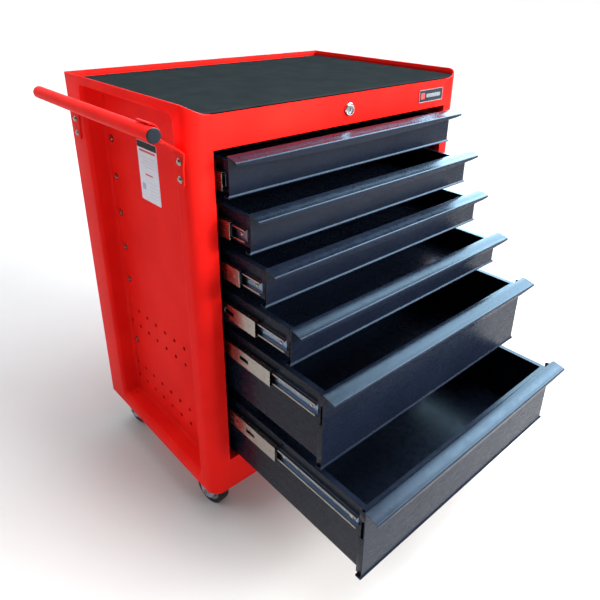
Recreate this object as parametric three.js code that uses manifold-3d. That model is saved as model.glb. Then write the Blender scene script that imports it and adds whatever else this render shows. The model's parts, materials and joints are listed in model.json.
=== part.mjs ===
// Rolling tool box: a sheet steel cabinet with six drawers on ball bearing slides, a side handle,
// a worktop with a rubber mat, a lock that holds every drawer, and four swivel casters.
// Millimetres, +Z up, the drawers open towards -Y, and the handle is on the -X side.

import * as THREE from "three";
import { mergeVertices } from "three/addons/utils/BufferGeometryUtils.js";
import Module from "manifold-3d";

const wasm = await Module();
wasm.setup();

// ---------------------------------------------------------------- driving dimensions

const GAP = 0.3; // between pieces that touch
const SHEET = 1.2; // folded steel sheet
const HEM = 2.6; // sheet folded double along a rim

const BODY_WIDTH = 680;
const BODY_DEPTH = 458;
const BODY_HEIGHT = 777; // underside of the body to the top of its rim
const CASTER_HEIGHT = 103; // floor to the underside of the body

const CORNER_RADIUS = 26; // the rounded front edges
const POST_WIDTH = 42.5; // front of the body beside the drawers
const OPENING_LOW = 75; // drawer opening, above the underside
const OPENING_HIGH = 704.5;
const RETURN_DEPTH = 16; // edges of the opening are folded back this far

const DECK_TOP = 761; // the front edge is level with the deck, the other rims are higher
const RIM_FALL_LENGTH = 57.3; // the rim comes down along the corner and on to the opening
const RIM_HEM_HEIGHT = 9;
const MAT_THICKNESS = 3.5;

const RECESS_DEPTH = 40; // pressed into each side
const RECESS_Y = [50, 386];
const RECESS_Z = [30, 758.3];

const HOLE_RADIUS = 4; // breather holes, seven to a row
const HOLE_COUNT = 7;
const HOLE_FIRST_Y = 143;
const HOLE_PITCH = 38.7;
const HOLE_ROWS = [73, 111, 227, 266.5];

const DRAWER_COUNT = 6;
const DEEP_FROM = 5; // drawers 5 and 6 are deep
const FRONT_GAP = 9.4; // between one drawer front and the next
const SHALLOW_FRONT = 69.6;
const DEEP_FRONT = 149.6;
const FIRST_FRONT_TOP = 701;
const FRONT_WIDTH = 582;
const FACE_INSET = 4; // the face is narrower than its lip and its hem
const LIP_REACH = 27;
const LIP_DROP = 5;
const APRON_DEPTH = 12; // the lip's return at mid width
const APRON_END = 3; // and at its ends
const FRONT_DEPTH = 12.5; // the front is a shallow pan

const BOX_WIDTH = 558;
const BOX_FRONT = 14;
const BOX_BACK = 420;
const BOX_TOP_DROP = 13; // the box is lower than the front
const BOX_LIFT = 4; // and starts above the front's lower edge
const BOX_FLANGE = 10;

const SLIDE_DROP = 46; // slide centre below the top of the drawer front
const SLIDE_SHEET = 1.2;
const SLIDE_STACK = 12.7; // drawer wall to the outer face of the fixed member
const INNER = { height: 21.2, start: 20, length: 400 };
const MIDDLE = { height: 31.2, length: 380, open: 2, closed: 11.1 };
const OUTER = { height: 36, start: 20, length: 420, open: 4.5, closed: SLIDE_STACK };
const UPRIGHT_WIDTH = 40;
const UPRIGHTS = [122, 363];
const BOLTED_UPRIGHT = UPRIGHTS[1]; // this one is bolted through the recess
const BOLT_HEAD = 2.6;
const BOLT_HEAD_RADIUS = 5;
const BOLT_RADIUS = 3;

// how far each drawer stands open, and where its middle slide members end
const PULLED_OUT = [24, 77, 114, 174, 249, 347];
const MIDDLE_FRONT = [-8, -23, -45, -84, -121.5, -132.5];

const HANDLE_RADIUS = 11.5;
const HANDLE_WALL = 1.5;
const HANDLE_X = -393;
const HANDLE_Z = 742.6;
const HANDLE_ENDS = [4.5, 454.5];
const CAP_THICKNESS = 2.5;
const BRACKET_SHEET = 3;
const BRACKET_CENTRES = [30, 424];
const BRACKET_WIDE = 54; // at the tube
const BRACKET_NARROW = 36; // at the body
const BRACKET_LOW = 650;
const BRACKET_BEND = 706;

const LOCK_Z = 732.5;
const LOCK_FLANGE_RADIUS = 12;
const LOCK_SLEEVE_RADIUS = 9.5;
const LOCK_PLUG_RADIUS = 7;
const LOCK_SLEEVE_END = 24;
const LOCK_BAR = 6;
const LOCK_TRAVEL = 8; // the bar drops this far to lock

const BADGE = { x: 244.5, z: 732.3, width: 79, height: 25.5, thickness: 1.8 };
const LABEL = { y: 216.5, z: 618, width: 73, height: 116, thickness: 0.6 };

const CASTER_INSET_X = 53;
const CASTER_INSET_Y = 59;
const WHEEL_RADIUS = 37.5;
const WHEEL_WIDTH = 27;
const AXLE_RADIUS = 4;
const TRAIL = 25; // wheel centre behind the swivel axis
const FORK_INSIDE = 31;
const FORK_SHEET = 3;
const LEG_END_RADIUS = 19;
const CASTERS = [
  { name: "front_left", side: -1, end: 0, turn: 9, brake: true },
  { name: "front_right", side: 1, end: 0, turn: -12, brake: true },
  { name: "rear_left", side: -1, end: 1, turn: 4, brake: false },
  { name: "rear_right", side: 1, end: 1, turn: 8, brake: false },
];

const HALF = BODY_WIDTH / 2;
const OPENING_HALF = HALF - POST_WIDTH;
const FAR = 1000; // longer than anything it cuts

// ---------------------------------------------------------------- solids

function solid(geometry) {
  const bare = geometry.clone();
  bare.deleteAttribute("normal");
  bare.deleteAttribute("uv");
  const merged = mergeVertices(bare, 1e-4);
  const vertProperties = new Float32Array(merged.attributes.position.array);
  const triVerts = new Uint32Array(merged.index.array);
  return new wasm.Manifold(new wasm.Mesh({ numProp: 3, vertProperties, triVerts }));
}

function join(...pieces) {
  return pieces.reduce((whole, piece) => whole.add(piece));
}

function cut(whole, ...tools) {
  return tools.reduce((rest, tool) => rest.subtract(tool), whole);
}

function block(x, y, z) {
  const box = new THREE.BoxGeometry(x[1] - x[0], y[1] - y[0], z[1] - z[0]);
  box.translate((x[0] + x[1]) / 2, (y[0] + y[1]) / 2, (z[0] + z[1]) / 2);
  return solid(box);
}

// a block that lies the same distance to each side of the middle
function wideBlock(half, y, z) {
  return block([-half, half], y, z);
}

// where an outline's first and second coordinates, and the way it is drawn out, point
const PLANES = {
  x: [new THREE.Vector3(0, 1, 0), new THREE.Vector3(0, 0, 1), new THREE.Vector3(1, 0, 0)],
  y: [new THREE.Vector3(1, 0, 0), new THREE.Vector3(0, 0, 1), new THREE.Vector3(0, -1, 0)],
  z: [new THREE.Vector3(1, 0, 0), new THREE.Vector3(0, 1, 0), new THREE.Vector3(0, 0, 1)],
};

// an outline drawn out along an axis from one place to another
function prism(outline, axis, from, to) {
  const shape = new THREE.Shape(outline.map(([u, v]) => new THREE.Vector2(u, v)));
  const geometry = new THREE.ExtrudeGeometry(shape, { depth: to - from, bevelEnabled: false });
  const [u, v, w] = PLANES[axis];
  geometry.applyMatrix4(new THREE.Matrix4().makeBasis(u, v, w));
  const start = w.clone().multiplyScalar(axis === "y" ? -to : from);
  geometry.translate(start.x, start.y, start.z);
  return solid(geometry);
}

function rod(axis, centre, radius, length, sides = 16) {
  const cylinder = new THREE.CylinderGeometry(radius, radius, length, sides);
  if (axis === "x") cylinder.rotateZ(Math.PI / 2);
  if (axis === "z") cylinder.rotateX(Math.PI / 2);
  cylinder.translate(...centre);
  return solid(cylinder);
}

// the outline of a sheet that follows a path, half its thickness to each side
function sheetAlong(path, thickness) {
  const points = path.map(([u, v]) => new THREE.Vector2(u, v));
  const left = [];
  const right = [];
  points.forEach((point, i) => {
    const before = points[Math.max(i - 1, 0)];
    const after = points[Math.min(i + 1, points.length - 1)];
    const into = point.clone().sub(before).normalize();
    const out = after.clone().sub(point).normalize();
    const along = into.clone().add(out).normalize();
    const isEnd = i === 0 || i === points.length - 1;
    const reach = thickness / 2 / (isEnd ? 1 : along.dot(out));
    left.push([point.x - along.y * reach, point.y + along.x * reach]);
    right.unshift([point.x + along.y * reach, point.y - along.x * reach]);
  });
  return [...left, ...right];
}

// points on an arc, angles in degrees
function arc(centre, radius, from, to, steps) {
  return Array.from({ length: steps + 1 }, (_, i) => {
    const angle = THREE.MathUtils.degToRad(from + ((to - from) * i) / steps);
    return [centre[0] + radius * Math.cos(angle), centre[1] + radius * Math.sin(angle)];
  });
}

function geometryOf(piece) {
  const { vertProperties, triVerts } = piece.getMesh();
  const geometry = new THREE.BufferGeometry();
  geometry.setAttribute("position", new THREE.BufferAttribute(vertProperties, 3));
  geometry.setIndex(new THREE.BufferAttribute(triVerts, 1));
  return geometry;
}

// the same solid on the other side of the body
function otherSide(piece) {
  const geometry = geometryOf(piece);
  geometry.scale(-1, 1, 1);
  const index = geometry.index.array;
  for (let i = 0; i < index.length; i += 3) {
    [index[i], index[i + 1]] = [index[i + 1], index[i]];
  }
  return solid(geometry);
}

// ---------------------------------------------------------------- materials and nodes

const FINISHES = {
  red: { color: 0xd8231c, roughness: 0.35, metalness: 0 },
  charcoal: { color: 0x1b1f2a, roughness: 0.4, metalness: 0 },
  zinc: { color: 0xb9bcc0, roughness: 0.35, metalness: 0.9 },
  chrome: { color: 0xd9dbde, roughness: 0.12, metalness: 1 },
  mat: { color: 0x3b4243, roughness: 0.9, metalness: 0 },
  tyre: { color: 0x17181a, roughness: 0.8, metalness: 0 },
  plastic: { color: 0x2b2f38, roughness: 0.6, metalness: 0 },
  label: { color: 0xd9dde2, roughness: 0.5, metalness: 0 },
};

const toolBox = new THREE.Group();
// the body's underside is at z = 0 in this group
const body = new THREE.Group();
body.position.z = CASTER_HEIGHT;
toolBox.add(body);

function node(name, piece, finish, parent = body) {
  const geometry = geometryOf(piece);
  geometry.computeVertexNormals();
  const mesh = new THREE.Mesh(geometry, new THREE.MeshStandardMaterial(FINISHES[finish]));
  mesh.name = name;
  parent.add(mesh);
}

// ---------------------------------------------------------------- layout of the drawers

// top and bottom of each drawer front and the height of its slides, from the highest drawer down
function drawerRows() {
  const rows = [];
  let top = FIRST_FRONT_TOP;
  for (let number = 1; number <= DRAWER_COUNT; number += 1) {
    const height = number < DEEP_FROM ? SHALLOW_FRONT : DEEP_FRONT;
    rows.push({ number, top, low: top - height, slide: top - SLIDE_DROP });
    top -= height + FRONT_GAP;
  }
  return rows;
}

const DRAWER_ROWS = drawerRows();

// ---------------------------------------------------------------- shell

// the body seen from above, moved inwards
function bodyPlan(inset) {
  const radius = CORNER_RADIUS - inset;
  return [
    ...arc([CORNER_RADIUS - HALF, CORNER_RADIUS], radius, 180, 270, 8),
    ...arc([HALF - CORNER_RADIUS, CORNER_RADIUS], radius, 270, 360, 8),
    [HALF - inset, BODY_DEPTH - inset],
    [inset - HALF, BODY_DEPTH - inset],
  ];
}

// what is taken off above the curve where the rim comes down to the front edge
function rimCutter() {
  const steps = 12;
  const cornerLength = CORNER_RADIUS * Math.PI / 2;
  const curve = Array.from({ length: steps + 1 }, (_, i) => {
    const left = RIM_FALL_LENGTH * i / steps;
    const along = RIM_FALL_LENGTH - left;
    const turned = Math.min(along, cornerLength) / CORNER_RADIUS;
    const straight = Math.max(along - cornerLength, 0);
    const x = HALF - CORNER_RADIUS + CORNER_RADIUS * Math.cos(turned) - straight;
    const rise = THREE.MathUtils.smoothstep(left, 0, RIM_FALL_LENGTH);
    return [x, THREE.MathUtils.lerp(DECK_TOP, BODY_HEIGHT, rise)];
  });
  const outline = [[0, DECK_TOP], ...curve, [HALF, FAR], [0, FAR]];
  return prism(outline, "y", -1, CORNER_RADIUS);
}

function breatherHoles() {
  const holes = [];
  for (const z of HOLE_ROWS) {
    for (let i = 0; i < HOLE_COUNT; i += 1) {
      const centre = [HALF - RECESS_DEPTH, HOLE_FIRST_Y + HOLE_PITCH * i, z];
      holes.push(rod("x", centre, HOLE_RADIUS, 10, 6));
    }
  }
  return holes;
}

// the bolts of the slide rack stand in upright slots
function boltSlots() {
  const x = HALF - RECESS_DEPTH;
  const width = BOLT_RADIUS + 0.8;
  const across = [BOLTED_UPRIGHT - width, BOLTED_UPRIGHT + width];
  return DRAWER_ROWS.map(({ slide }) => block([x - 5, x + 5], across, [slide - 7, slide + 7]));
}

function sidePanel() {
  const floor = HALF - RECESS_DEPTH;
  const grown = ([low, high]) => [low - SHEET, high + SHEET];
  const half = block([OPENING_HALF, FAR], [-1, FAR], [0, BODY_HEIGHT]);
  const outside = cut(
    prism(bodyPlan(0), "z", 0, BODY_HEIGHT).intersect(half),
    block([floor, FAR], RECESS_Y, RECESS_Z),
  );
  const hollow = cut(
    join(
      prism(bodyPlan(SHEET), "z", -5, BODY_HEIGHT - RIM_HEM_HEIGHT),
      prism(bodyPlan(HEM), "z", DECK_TOP, BODY_HEIGHT + 5),
    ),
    block([floor - SHEET, FAR], grown(RECESS_Y), grown(RECESS_Z)),
  );
  const edgeReturn = block(
    [OPENING_HALF, OPENING_HALF + SHEET],
    [0, RETURN_DEPTH],
    [OPENING_LOW, OPENING_HIGH],
  );
  const folded = join(cut(outside, hollow), edgeReturn);
  // the recess is held between its walls and has no sheet in front of the opening's edge
  const recessFloor = block(
    [floor - SHEET, floor],
    grown(RECESS_Y),
    grown(RECESS_Z),
  );
  return cut(join(folded, recessFloor), rimCutter(), ...breatherHoles(), ...boltSlots());
}

const rightPanel = sidePanel();
node("side_panel_right", rightPanel, "red");
node("side_panel_left", otherSide(rightPanel), "red");

const between = OPENING_HALF - GAP; // half width of what fits between the side panels

// shallow beads pressed inwards stiffen the back
function backPanel() {
  const beadRows = [190, 380, 570];
  const beadHalfHeight = 23;
  const beadDepth = 5;
  const slope = 8;
  const bead = (z, grow) => {
    const deep = BODY_DEPTH - beadDepth - grow;
    const outline = [
      [BODY_DEPTH + 1, z - beadHalfHeight - slope - grow],
      [deep, z - beadHalfHeight - grow],
      [deep, z + beadHalfHeight + grow],
      [BODY_DEPTH + 1, z + beadHalfHeight + slope + grow],
    ];
    return prism(outline, "x", -240 - grow, 240 + grow);
  };
  const sheet = wideBlock(between, [BODY_DEPTH - SHEET, BODY_DEPTH], [0, BODY_HEIGHT]);
  const hemLow = BODY_HEIGHT - RIM_HEM_HEIGHT;
  const hem = wideBlock(between, [BODY_DEPTH - HEM, BODY_DEPTH], [hemLow, BODY_HEIGHT]);
  const limit = wideBlock(between, [0, BODY_DEPTH], [0, BODY_HEIGHT]);
  const raised = beadRows.map((z) => bead(z, SHEET).intersect(limit));
  return cut(join(sheet, hem, ...raised), ...beadRows.map((z) => bead(z, 0)));
}

node("back_panel", backPanel(), "red");

// folded from one sheet, with a rounded upper edge
function frontHeader() {
  const mid = SHEET / 2;
  const bend = 3;
  const path = [
    [RETURN_DEPTH, OPENING_HIGH + mid],
    [mid, OPENING_HIGH + mid],
    ...arc([mid + bend, DECK_TOP - mid - bend], bend, 180, 90, 3),
    [RETURN_DEPTH - 2, DECK_TOP - mid],
  ];
  const sheet = prism(sheetAlong(path, SHEET), "x", -between, between);
  return cut(sheet, rod("y", [0, 0, LOCK_Z], LOCK_SLEEVE_RADIUS + GAP, 10));
}

node("front_header", frontHeader(), "red");

function basePan() {
  const floor = prism(bodyPlan(SHEET + GAP), "z", 0, SHEET);
  const foot = wideBlock(between, [0, RETURN_DEPTH], [0, SHEET]);
  const high = OPENING_LOW - GAP;
  const rail = wideBlock(between, [0, SHEET], [0, high]);
  const railReturn = wideBlock(between, [0, RETURN_DEPTH], [high - SHEET, high]);
  return join(floor, foot, rail, railReturn);
}

node("base_pan", basePan(), "red");

function topDeck() {
  const sheet = prism(bodyPlan(SHEET + GAP), "z", DECK_TOP - SHEET, DECK_TOP);
  return cut(sheet, wideBlock(OPENING_HALF, [-1, RETURN_DEPTH - 2 + GAP], [0, FAR]));
}

function topMat() {
  const low = DECK_TOP + GAP;
  return prism(bodyPlan(HEM + GAP), "z", low, low + MAT_THICKNESS);
}

node("top_deck", topDeck(), "red");
node("top_mat", topMat(), "mat");

// ---------------------------------------------------------------- drawers

// a shallow pan with a pull lip along its top; the lip's return is deeper at mid width
function drawerFront({ low, top, slide }) {
  const half = FRONT_WIDTH / 2;
  const mid = SHEET / 2;
  const back = FRONT_DEPTH - mid;
  const noseY = -LIP_REACH + 2 + mid;
  const noseZ = top - LIP_DROP;
  const profile = [
    [back, low + 5.5],
    [back, low + mid],
    [-1.4, low + mid],
    [-1.4, low + 2.4],
    [mid, low + 4],
    [mid, top - 2],
    [-1, top - mid],
    [noseY + 1, noseZ - 0.2],
    ...arc([noseY, noseZ - 2.4], 2, 90, 180, 3),
    [noseY - 2, noseZ - 2.4 - APRON_END + 1],
  ];
  const folded = prism(sheetAlong(profile, SHEET), "x", -half, half);
  const steps = 12;
  const apronTop = noseZ - 2.6;
  const bow = Array.from({ length: steps + 1 }, (_, i) => {
    const swell = Math.sin((Math.PI * i) / steps) ** 0.7;
    const depth = THREE.MathUtils.lerp(APRON_END, APRON_DEPTH, swell);
    return [half - (FRONT_WIDTH * i) / steps, apronTop + 1 - depth];
  });
  const apron = prism(
    [[-half, apronTop], [half, apronTop], ...bow],
    "y",
    noseY - 2 - mid,
    noseY - 2 + mid,
  );
  const edge = half - FACE_INSET;
  const notches = [[edge, FAR], [-FAR, -edge]].map((x) =>
    block(x, [-0.1, SHEET + 0.1], [low + 5, top - 5]),
  );
  const returns = [[edge - SHEET, edge], [-edge, SHEET - edge]].map((x) =>
    block(x, [0.1, FRONT_DEPTH], [low + 0.2, top - 8]),
  );
  // room for the middle slide members when the drawer is shut
  const clearance = MIDDLE.height / 2 + 3;
  const slideRoom = block([-FAR, FAR], [2.6, FAR], [slide - clearance, slide + clearance]);
  const sides = returns.map((piece) => cut(piece, slideRoom));
  return join(cut(join(folded, apron), ...notches), ...sides);
}

// the drawer's own slide member on its left wall
function innerMember(slide) {
  const wall = -BOX_WIDTH / 2;
  const run = [INNER.start, INNER.start + INNER.length];
  const low = slide - INNER.height / 2;
  const high = slide + INNER.height / 2;
  const web = block([wall - SLIDE_SHEET, wall + 0.5], run, [low, high]);
  const track = (z) => block([wall - 6.5, wall], run, [z, z + SLIDE_SHEET]);
  return join(web, track(low), track(high - SLIDE_SHEET));
}

// a hook behind the drawer for the lock bar
function lockCatch(z) {
  const foot = block([-8, 8], [BOX_BACK - 0.5, BOX_BACK + 12], [z, z + 1.5]);
  return join(foot, block([-8, 8], [BOX_BACK + 10.5, BOX_BACK + 12], [z, z + 7]));
}

const catchHeight = (row) => row.top - 40;

function drawerBox(row) {
  const { low, top, slide } = row;
  const half = BOX_WIDTH / 2;
  const boxLow = low + BOX_LIFT;
  const boxTop = top - BOX_TOP_DROP;
  const outside = join(
    wideBlock(half, [BOX_FRONT, BOX_BACK], [boxLow, boxTop]),
    wideBlock(half, [SHEET + GAP, BOX_FRONT + 1], [boxTop - SHEET, boxTop]),
  );
  const room = wideBlock(
    half - SHEET,
    [BOX_FRONT + SHEET, BOX_BACK - SHEET],
    [boxLow + SHEET, boxTop - SHEET],
  );
  const mouth = wideBlock(
    half - BOX_FLANGE,
    [BOX_FRONT + SHEET, BOX_BACK - SHEET],
    [boxTop - 2 * SHEET, boxTop + 1],
  );
  const member = innerMember(slide);
  return join(cut(outside, room, mouth), member, otherSide(member), lockCatch(catchHeight(row)));
}

// a slide member that is open towards the drawer
function channel(slide, { height, open, closed }, run) {
  const wall = -BOX_WIDTH / 2;
  const low = slide - height / 2;
  const high = slide + height / 2;
  const web = block([wall - closed, wall - closed + SLIDE_SHEET], run, [low, high]);
  const edge = (z) => block([wall - closed, wall - open], run, [z, z + SLIDE_SHEET]);
  return join(web, edge(low), edge(high - SLIDE_SHEET));
}

function middleMember(slide, front) {
  const piece = channel(slide, MIDDLE, [front, front + MIDDLE.length]);
  const x = -BOX_WIDTH / 2 - MIDDLE.closed;
  const slots = [60, 190, 310].map((y) =>
    block([x - 1, x + 3], [front + y, front + y + 26], [slide - 4, slide + 4]),
  );
  return cut(piece, ...slots);
}

for (const row of DRAWER_ROWS) {
  const { number, slide } = row;
  const drawer = new THREE.Group();
  drawer.position.y = -PULLED_OUT[number - 1];
  body.add(drawer);
  node(`drawer_front_${number}`, drawerFront(row), "charcoal", drawer);
  node(`drawer_box_${number}`, drawerBox(row), "charcoal", drawer);
  const member = middleMember(slide, MIDDLE_FRONT[number - 1]);
  node(`slide_middle_left_${number}`, member, "zinc");
  node(`slide_middle_right_${number}`, otherSide(member), "zinc");
}

// two uprights, the fixed slide members that they carry and the bolts through the recess
function slideRack() {
  const outerFace = -BOX_WIDTH / 2 - SLIDE_STACK;
  const recessInside = RECESS_DEPTH + SHEET - HALF;
  const run = [OUTER.start, OUTER.start + OUTER.length];
  const members = DRAWER_ROWS.map(({ slide }) => channel(slide, OUTER, run));
  const uprights = UPRIGHTS.map((centre) => {
    const y = [centre - UPRIGHT_WIDTH / 2, centre + UPRIGHT_WIDTH / 2];
    const whole = block([recessInside + GAP, outerFace + 0.5], y, [SHEET + GAP, OPENING_HIGH]);
    const inner = [y[0] + SHEET, y[1] - SHEET];
    return cut(whole, block([recessInside + GAP + SHEET, 0], inner, [-FAR, FAR]));
  });
  const bolts = DRAWER_ROWS.map(({ slide }) => {
    const tip = recessInside - SHEET - GAP - BOLT_HEAD;
    const length = recessInside + GAP + SHEET / 2 - tip;
    const y = BOLTED_UPRIGHT;
    const shank = rod("x", [tip + length / 2, y, slide], BOLT_RADIUS, length, 4);
    return join(shank, rod("x", [tip + BOLT_HEAD / 2, y, slide], BOLT_HEAD_RADIUS, BOLT_HEAD, 8));
  });
  return join(...uprights, ...members, ...bolts);
}

const leftRack = slideRack();
node("slide_rack_left", leftRack, "zinc");
node("slide_rack_right", otherSide(leftRack), "zinc");

// ---------------------------------------------------------------- handle

function handleTube() {
  const length = HANDLE_ENDS[1] - HANDLE_ENDS[0];
  const centre = [HANDLE_X, (HANDLE_ENDS[0] + HANDLE_ENDS[1]) / 2, HANDLE_Z];
  const bore = rod("y", centre, HANDLE_RADIUS - HANDLE_WALL, length + 2, 24);
  return cut(rod("y", centre, HANDLE_RADIUS, length, 24), bore);
}

function handleCap(end, outwards) {
  const disc = end + outwards * (GAP + CAP_THICKNESS / 2);
  const plugLength = 12;
  const plug = end - outwards * (plugLength / 2 - GAP - 0.1);
  return join(
    rod("y", [HANDLE_X, disc, HANDLE_Z], HANDLE_RADIUS, CAP_THICKNESS, 24),
    rod("y", [HANDLE_X, plug, HANDLE_Z], HANDLE_RADIUS - HANDLE_WALL - GAP, plugLength, 24),
  );
}

// a plate on the body, an arm that rises from it, and a strap under and behind the tube
function handleBracket(y) {
  const face = -HALF - GAP - BRACKET_SHEET / 2;
  const wrap = HANDLE_RADIUS + GAP + BRACKET_SHEET / 2;
  const path = [
    [face, BRACKET_LOW],
    [face, BRACKET_BEND],
    ...arc([HANDLE_X, HANDLE_Z], wrap, -40, 112, 9),
  ];
  const wide = BRACKET_WIDE / 2;
  const narrow = BRACKET_NARROW / 2;
  const strap = prism(sheetAlong(path, BRACKET_SHEET), "y", y - wide, y + wide);
  const plan = [
    [HANDLE_X - 30, y - wide],
    [HANDLE_X + 14, y - wide],
    [face - 3, y - narrow],
    [face + 9, y - narrow],
    [face + 9, y + narrow],
    [face - 3, y + narrow],
    [HANDLE_X + 14, y + wide],
    [HANDLE_X - 30, y + wide],
  ];
  return strap.intersect(prism(plan, "z", BRACKET_LOW - 1, HANDLE_Z + 40));
}

node("handle_tube", handleTube(), "red");
node("handle_cap_front", handleCap(HANDLE_ENDS[0], -1), "plastic");
node("handle_cap_rear", handleCap(HANDLE_ENDS[1], 1), "plastic");
node("handle_bracket_front", handleBracket(BRACKET_CENTRES[0]), "red");
node("handle_bracket_rear", handleBracket(BRACKET_CENTRES[1]), "red");

// ---------------------------------------------------------------- lock, badge and label

function lockHousing() {
  const flange = rod("y", [0, -GAP - 1.5, LOCK_Z], LOCK_FLANGE_RADIUS, 3, 20);
  const length = LOCK_SLEEVE_END + 2;
  const sleeve = rod("y", [0, length / 2 - 2, LOCK_Z], LOCK_SLEEVE_RADIUS, length, 20);
  const bore = rod("y", [0, 0, LOCK_Z], LOCK_PLUG_RADIUS + GAP, FAR, 20);
  return cut(join(flange, sleeve), bore);
}

// what the key turns, with the cam on its inner end pointing sideways when unlocked
function lockPlug() {
  const front = -4;
  const back = LOCK_SLEEVE_END + 0.5;
  const barrel = rod("y", [0, (front + back) / 2, LOCK_Z], LOCK_PLUG_RADIUS, back - front, 20);
  const cam = block([-7, 20], [back - 0.5, back + 2.5], [LOCK_Z - 6, LOCK_Z + 6]);
  const keyway = block([-0.9, 0.9], [front - 1, front + 9], [LOCK_Z - 4, LOCK_Z + 4]);
  return cut(join(barrel, cam), keyway);
}

// runs back under the deck and down behind the drawers, with a hook for each drawer's catch
function lockBar() {
  const half = LOCK_BAR / 2;
  const back = 448;
  const tabTop = 717; // the cam comes down on this
  const across = block([-half, half], [36, back], [LOCK_Z - half, LOCK_Z + half]);
  const drop = block([-half, half], [36, 36 + LOCK_BAR], [tabTop - 5, LOCK_Z]);
  const tab = block([-half, half], [LOCK_SLEEVE_END, 40], [tabTop - 5, tabTop]);
  const down = block([-half, half], [back - LOCK_BAR, back], [80, LOCK_Z]);
  const hooks = DRAWER_ROWS.map((row) => {
    const low = catchHeight(row) + LOCK_TRAVEL + 2;
    const arm = block([-half, half], [BOX_BACK + 4, back - 1], [low + 6, low + 9]);
    return join(arm, block([-7, 7], [BOX_BACK + 4, BOX_BACK + 7], [low, low + 9]));
  });
  return join(across, drop, tab, down, ...hooks);
}

function nameBadge() {
  const { x, z, width, height, thickness } = BADGE;
  const place = [x - width / 2, x + width / 2];
  return block(place, [-GAP - thickness, -GAP], [z - height / 2, z + height / 2]);
}

function sideLabel() {
  const { y, z, width, height, thickness } = LABEL;
  const face = RECESS_DEPTH - HALF - 0.1;
  const place = [y - width / 2, y + width / 2];
  return block([face - thickness, face], place, [z - height / 2, z + height / 2]);
}

node("lock_housing", lockHousing(), "chrome");
node("lock_plug", lockPlug(), "chrome");
node("lock_bar", lockBar(), "zinc");
node("name_badge", nameBadge(), "plastic");
node("side_label", sideLabel(), "label");

// ---------------------------------------------------------------- casters

// In a caster's own frame the swivel axis is x = y = 0, the wheel trails towards +Y and the floor
// is at z = 0.
const PLATE_TOP = CASTER_HEIGHT - GAP;
const PLATE_THICKNESS = 3;
const RACE_LOW = 92;
const CROWN_TOP = RACE_LOW - GAP;
const CROWN_THICKNESS = 3.2;
const SWIVEL_PIN_RADIUS = 6;
const PEDAL_PIVOT = [46, 77]; // y and z
const PEDAL_PIN_RADIUS = 2.5;

function casterPlate() {
  const plate = block([-40, 40], [-34, 34], [PLATE_TOP - PLATE_THICKNESS, PLATE_TOP]);
  const race = rod("z", [0, 0, (RACE_LOW + PLATE_TOP) / 2], 21, PLATE_TOP - RACE_LOW, 16);
  const low = CROWN_TOP - CROWN_THICKNESS - GAP - 3;
  const pin = rod("z", [0, 0, (low + PLATE_TOP) / 2], SWIVEL_PIN_RADIUS, PLATE_TOP - low, 10);
  const head = rod("z", [0, 0, low + 1.5], 10, 3, 10);
  return join(plate, race, pin, head);
}

// side view of a fork leg, from the crown down to the axle and back up
function legOutline(withBrake) {
  const axle = arc([TRAIL, WHEEL_RADIUS], LEG_END_RADIUS, 200, 360, 8);
  const rear = withBrake ? arc(PEDAL_PIVOT, 6, 0, 90, 3) : [[TRAIL + 8, CROWN_TOP - 22]];
  return [[-17, CROWN_TOP], [-17, CROWN_TOP - 6], ...axle, ...rear, [17, CROWN_TOP]];
}

function casterFork(withBrake) {
  const inner = FORK_INSIDE / 2;
  const outer = inner + FORK_SHEET;
  const outline = legOutline(withBrake);
  const nuts = [-1, 1].map((side) =>
    rod("x", [side * (outer + 2.2), TRAIL, WHEEL_RADIUS], 9, 5, 6),
  );
  const pedalPin = rod("x", [0, ...PEDAL_PIVOT], PEDAL_PIN_RADIUS, 2 * outer, 10);
  const whole = join(
    rod("z", [0, 0, CROWN_TOP - CROWN_THICKNESS / 2], 22, CROWN_THICKNESS, 16),
    wideBlock(outer, [-17, 17], [CROWN_TOP - CROWN_THICKNESS, CROWN_TOP]),
    prism(outline, "x", inner, outer),
    prism(outline, "x", -outer, -inner),
    rod("x", [0, TRAIL, WHEEL_RADIUS], AXLE_RADIUS, 2 * outer, 12),
    ...nuts,
    ...(withBrake ? [pedalPin] : []),
  );
  return cut(whole, rod("z", [0, 0, CROWN_TOP], SWIVEL_PIN_RADIUS + GAP, 20, 10));
}

function casterWheel() {
  const half = WHEEL_WIDTH / 2;
  const bore = AXLE_RADIUS + GAP;
  const shoulder = 5;
  const corner = [WHEEL_RADIUS - shoulder, -half + shoulder];
  const side = [
    [bore, -half - 1.5],
    [11, -half - 1.5],
    [12, -half + 3],
    [WHEEL_RADIUS - 10, -half + 3],
    ...arc(corner, shoulder, -90, 0, 2),
  ];
  const mirrored = side.map(([r, h]) => [r, -h]).reverse();
  const points = [...side, ...mirrored, side[0]].map(([r, h]) => new THREE.Vector2(r, h));
  const wheel = new THREE.LatheGeometry(points, 24);
  wheel.rotateZ(-Math.PI / 2);
  wheel.translate(0, TRAIL, WHEEL_RADIUS);
  return solid(wheel);
}

// a tread plate that turns down onto the tyre about its pin
function brakePedal() {
  const half = FORK_INSIDE / 2 - 1;
  const [y, z] = PEDAL_PIVOT;
  const path = [
    ...arc([y, z], 5.2, 170, 60, 4),
    [y + 16, z - 2],
    [y + 34, z - 18],
    [y + 44, z - 22],
  ];
  const tread = prism(sheetAlong(path, 2.4), "x", -half, half);
  const hub = join(rod("x", [0, y, z], 6, 2 * half, 12), tread);
  return cut(hub, rod("x", [0, y, z], PEDAL_PIN_RADIUS + GAP, 2 * half + 2, 10));
}

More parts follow.
